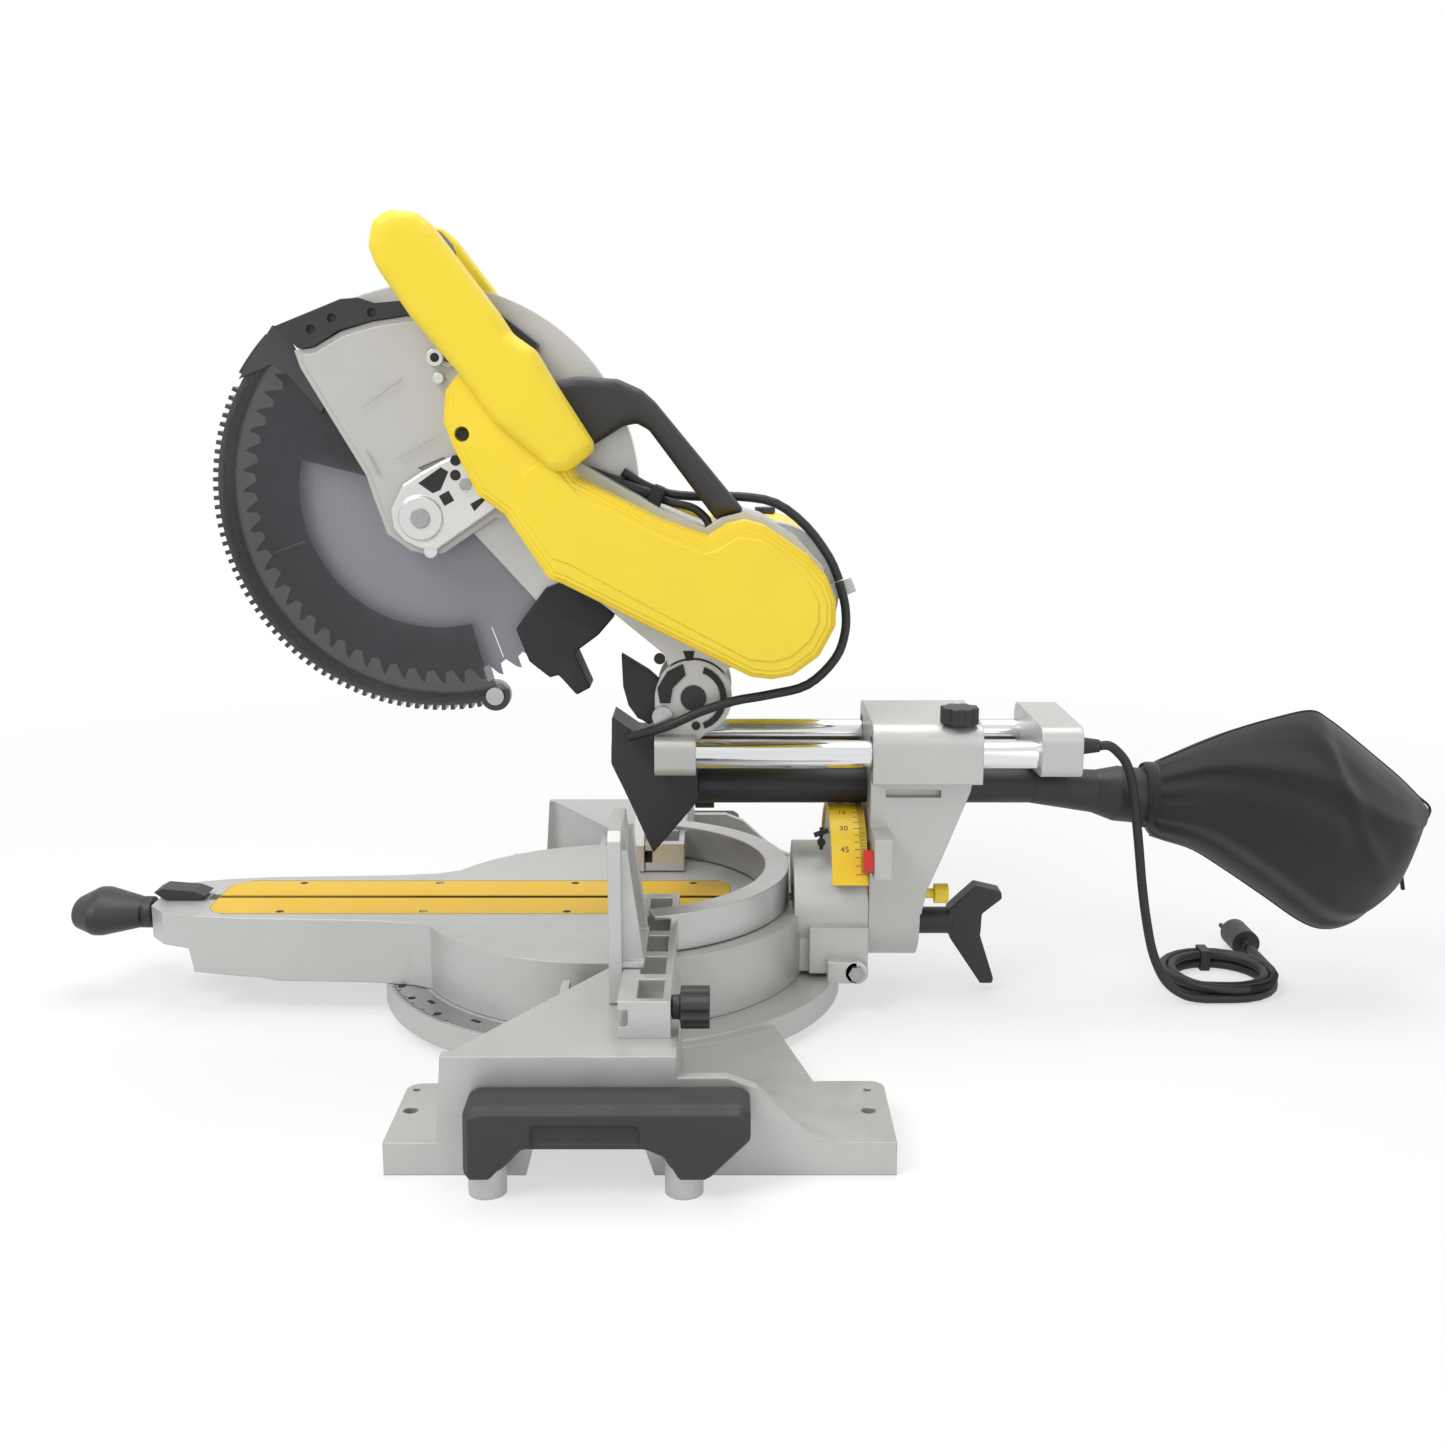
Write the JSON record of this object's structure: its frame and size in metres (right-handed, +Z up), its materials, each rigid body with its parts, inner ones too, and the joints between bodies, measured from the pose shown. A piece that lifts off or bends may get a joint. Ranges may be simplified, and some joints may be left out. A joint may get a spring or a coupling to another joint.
{
  "type": "sliding compound miter saw",
  "caption": "Sliding compound miter saw with tilting twin-rail column, smoked lower guard, loop handle, dust bag and cord.",
  "frame": {"origin": "centre of the four bench bolts, on the bench", "axes": "+X to the operator's right, +Y to the rear along the rails, +Z up"},
  "size_m": [0.722, 1.1124, 0.614],
  "materials": {
    "cast": "cast, satin",
    "steel": "ground",
    "zinc": "zinc plated",
    "fence": "machined face",
    "black": "moulded, matte",
    "yellow": "moulded, satin",
    "red": "moulded",
    "chrome": "hard chromed",
    "bag": "woven nylon",
    "smoke": "smoked, clear",
    "rubber": "matte",
    "blade": "ground, radial",
    "iron": "laminated"
  },
  "bodies": {
    "base": {"base_casting": "cast", "miter_detent_plate": "steel", "side_grips": "black", "fixed_fence": "fence", "fence_bolts": "zinc", "miter_pivot_bolt": "zinc", "power_cord": "rubber", "cord_coil": "rubber", "cord_tie": "rubber", "cord_plug": "rubber"},
    "fence_right": {"sliding_fence_right": "fence"},
    "fence_left": {"sliding_fence_left": "fence"},
    "fence_knob_right": {"fence_knob_right": "black"},
    "fence_knob_left": {"fence_knob_left": "black"},
    "table": {"turntable": "cast", "kerf_plates": "yellow", "kerf_screws": "zinc", "bevel_scale": "yellow", "bevel_pivot_bolt": "zinc"},
    "miter_handle": {"miter_lock_handle": "black"},
    "miter_latch": {"miter_latch_lever": "black"},
    "column": {"bevel_column": "cast", "bevel_pointers": "red", "rail_bushes": "black"},
    "bevel_lever": {"bevel_lock_lever": "black"},
    "bevel_pin": {"bevel_stop_pin": "yellow"},
    "rail_knob": {"rail_lock_knob": "black"},
    "carriage": {"rails": "chrome", "carriage": "cast", "rail_end_cap": "cast", "dust_funnel": "black", "dust_pipe": "black", "dust_bag": "bag", "hinge_pin": "black", "cord_relief": "rubber"},
    "lock_pin": {"lock_down_pin": "black"},
    "head": {"head_arm": "cast", "gear_case": "cast", "upper_guard": "cast", "guard_link_cover": "black", "belt_cover": "yellow", "main_handle": "yellow", "carry_handle": "black", "dust_chute": "rubber", "motor_housing": "yellow", "motor_end_cap": "black", "brush_caps": "black", "stator": "iron", "drive_belts": "rubber", "head_cable": "rubber", "lift_spring": "steel", "cable_loop": "rubber"},
    "trigger": {"trigger": "black"},
    "spindle_lock": {"spindle_lock_button": "black"},
    "blade": {"spindle": "zinc", "blade": "blade"},
    "layshaft": {"layshaft": "zinc"},
    "armature": {"armature": "iron"},
    "lower_guard": {"lower_guard": "smoke"},
    "guard_roller": {"guard_roller": "steel"}
  },
  "joints": [
    {"name": "miter", "type": "hinge", "parent": "base", "child": "table", "pos_m": [0, -0.035, 0.08], "axis": [0, 0, -1], "range_deg": [-47, 47], "deforming": ["power_cord"]},
    {"name": "fence_slide_right", "type": "slide", "parent": "base", "child": "fence_right", "axis": [1, 0, 0], "range_m": [0, 0.1]},
    {"name": "fence_slide_left", "type": "slide", "parent": "base", "child": "fence_left", "axis": [-1, 0, 0], "range_m": [0, 0.1]},
    {"name": "fence_clamp_right", "type": "hinge", "parent": "base", "child": "fence_knob_right", "pos_m": [0.282, 0.04, 0.096], "axis": [0, 1, 0], "continuous": true},
    {"name": "fence_clamp_left", "type": "hinge", "parent": "base", "child": "fence_knob_left", "pos_m": [-0.282, 0.04, 0.096], "axis": [0, 1, 0], "continuous": true},
    {"name": "miter_lock", "type": "hinge", "parent": "table", "child": "miter_handle", "pos_m": [0, -0.408, 0.066], "axis": [0, 1, 0], "range_deg": [0, 300]},
    {"name": "miter_latch", "type": "hinge", "parent": "table", "child": "miter_latch", "pos_m": [0, -0.398, 0.081], "axis": [1, 0, 0], "range_deg": [0, 3], "stiffness_Nm_per_rad": 0.5, "springref_deg": -17.19},
    {"name": "bevel", "type": "hinge", "parent": "table", "child": "column", "pos_m": [0, 0.19, 0.08], "axis": [0, -1, 0], "range_deg": [-45, 45], "deforming": ["power_cord"]},
    {"name": "bevel_lock", "type": "hinge", "parent": "column", "child": "bevel_lever", "pos_m": [0, 0.24, 0.06], "axis": [0, -1, 0], "range_deg": [0, 50]},
    {"name": "bevel_pin", "type": "slide", "parent": "column", "child": "bevel_pin", "axis": [0, 1, 0], "range_m": [0, 0.008], "stiffness_N_per_m": 300, "springref_m": -0.01},
    {"name": "rail_lock", "type": "hinge", "parent": "column", "child": "rail_knob", "pos_m": [0.05, 0.238, 0.24], "axis": [0, 0, 1], "continuous": true},
    {"name": "rail_slide", "type": "slide", "parent": "column", "child": "carriage", "axis": [0, -1, 0], "range_m": [-0.11, 0.044], "deforming": ["power_cord"]},
    {"name": "lock_down", "type": "slide", "parent": "carriage", "child": "lock_pin", "axis": [1, 0, 0], "range_m": [0, 0.008]},
    {"name": "chop", "type": "hinge", "parent": "carriage", "child": "head", "pos_m": [0, 0.032, 0.254], "axis": [1, 0, 0], "range_deg": [0, 43.9], "stiffness_Nm_per_rad": 30, "springref_deg": -68.75, "deforming": ["cable_loop", "lift_spring"]},
    {"name": "trigger_pull", "type": "hinge", "parent": "head", "child": "trigger", "pos_m": [0.02, -0.163, 0.602], "axis": [-1, 0, 0], "range_deg": [0, 9], "stiffness_Nm_per_rad": 0.4, "springref_deg": -17.19},
    {"name": "spindle_lock", "type": "slide", "parent": "head", "child": "spindle_lock", "axis": [-1, 0, 0], "range_m": [0, 0.004], "stiffness_N_per_m": 300, "springref_m": -0.01},
    {"name": "motor_spin", "type": "hinge", "parent": "head", "child": "armature", "pos_m": [0, 0.092, 0.332], "axis": [1, 0, 0], "continuous": true},
    {"name": "layshaft_spin", "type": "hinge", "parent": "head", "child": "layshaft", "pos_m": [0, -0.095, 0.418], "axis": [1, 0, 0], "continuous": true},
    {"name": "blade_spin", "type": "hinge", "parent": "head", "child": "blade", "pos_m": [0, -0.168, 0.411], "axis": [1, 0, 0], "continuous": true},
    {"name": "guard_lift", "type": "hinge", "parent": "head", "child": "lower_guard", "pos_m": [0, -0.168, 0.411], "axis": [1, 0, 0], "range_deg": [-106, 0]},
    {"name": "roller_spin", "type": "hinge", "parent": "lower_guard", "child": "guard_roller", "pos_m": [0, -0.12529, 0.25162], "axis": [1, 0, 0], "continuous": true}
  ],
  "couplings": [
    {"joint": "guard_lift", "follows": "chop", "ratio": -2.4},
    {"joint": "layshaft_spin", "follows": "motor_spin", "ratio": 0.85714},
    {"joint": "blade_spin", "follows": "motor_spin", "ratio": 0.29464}
  ]
}
